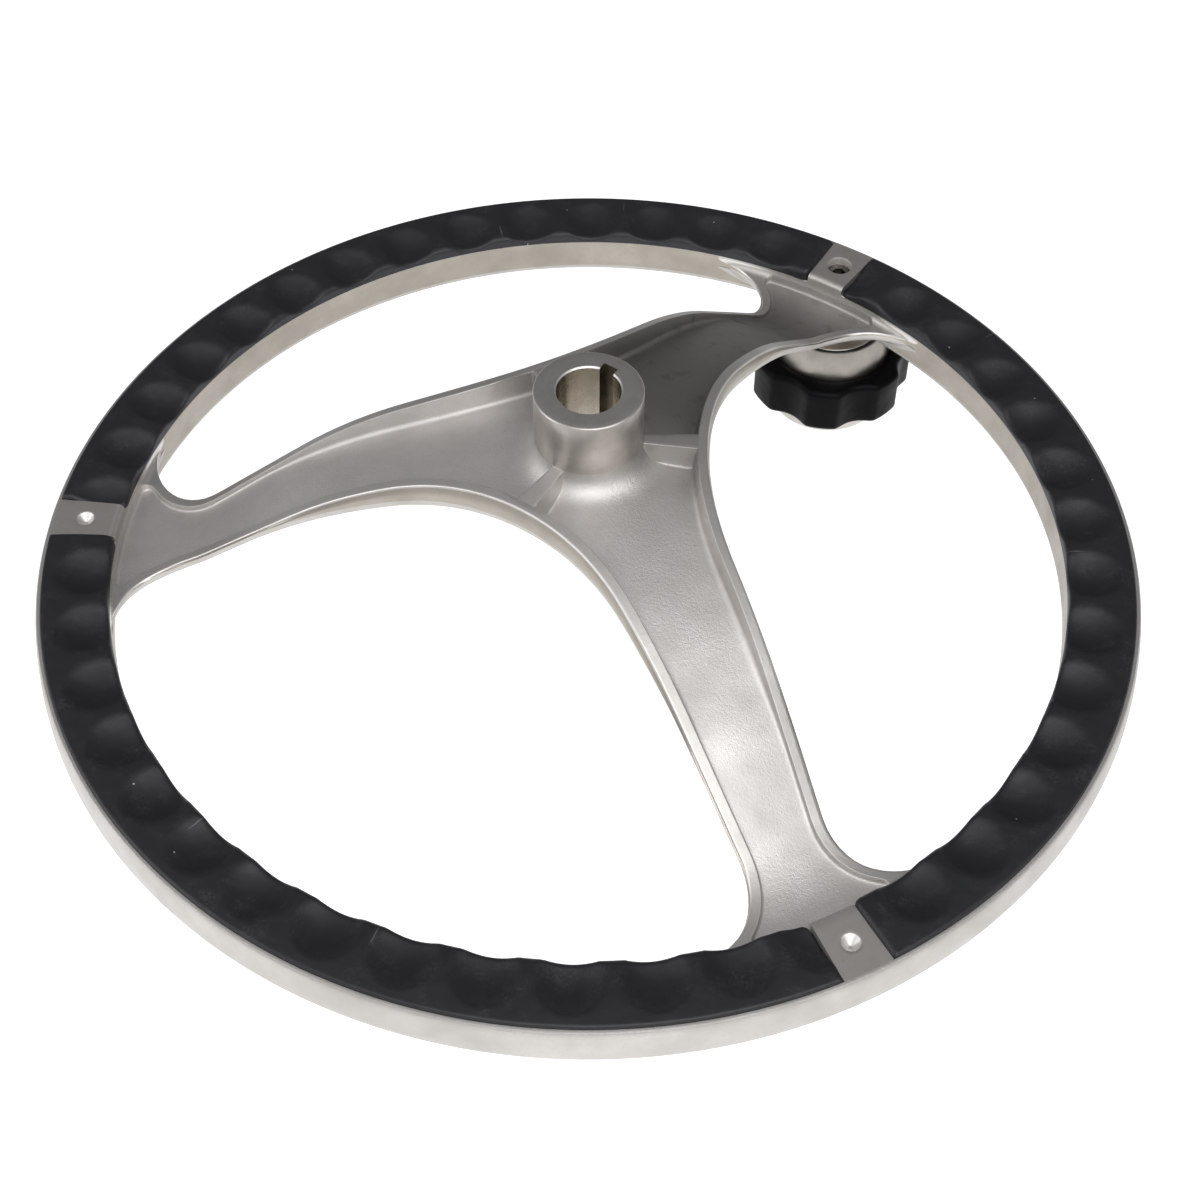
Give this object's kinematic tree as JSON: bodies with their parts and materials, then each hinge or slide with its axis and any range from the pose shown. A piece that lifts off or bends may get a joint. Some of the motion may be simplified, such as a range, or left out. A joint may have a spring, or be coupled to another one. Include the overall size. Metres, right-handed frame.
{
  "type": "boat steering wheel",
  "caption": "Dished stainless boat steering wheel with hollow-backed spokes, a keyed straight bore, scooped rubber rim grips and a free-spinning lobed knob.",
  "frame": {"origin": "centre of the shaft bore at the rear face of the hub", "axes": "+Z along the shaft bore, out of the rear face, the way the helm shaft leaves; the rim lies below in -Z by the depth of the dish; -X points along the spoke left of the knob's spoke"},
  "size_m": [0.343, 0.343, 0.1301],
  "materials": {
    "stainless_casting": "fine bead-blasted stainless casting, satin",
    "grip_rubber": "matt black rubber",
    "fastener_steel": "turned stainless",
    "knob_steel": "satin turned stainless",
    "bearing_steel": "ground and polished",
    "seal_rubber": "glossy black rubber",
    "knob_rubber": "semi-matt black rubber"
  },
  "bodies": {
    "wheel": {"wheel_casting": "stainless_casting", "upper_left_grip": "grip_rubber", "lower_grip": "grip_rubber", "right_grip": "grip_rubber", "knob_screw": "fastener_steel", "lock_washer": "fastener_steel", "knob_spindle": "knob_steel", "seal_ring": "seal_rubber", "upper_inner_race": "bearing_steel", "lower_inner_race": "bearing_steel", "bearing_spacer": "fastener_steel", "retaining_washer": "fastener_steel", "retaining_nut": "fastener_steel"},
    "knob": {"knob_body": "knob_steel", "knob_ring": "knob_rubber", "end_cap": "knob_steel", "cap_seal": "seal_rubber", "upper_outer_race": "bearing_steel", "upper_cage": "fastener_steel", "upper_balls": "bearing_steel", "lower_outer_race": "bearing_steel", "lower_cage": "fastener_steel", "lower_balls": "bearing_steel", "bearing_circlip": "fastener_steel"}
  },
  "joints": [
    {"name": "knob_spin", "type": "hinge", "parent": "wheel", "child": "knob", "pos_m": [0.0797, 0.13804, -0.1], "axis": [0, 0, 1], "continuous": true}
  ]
}
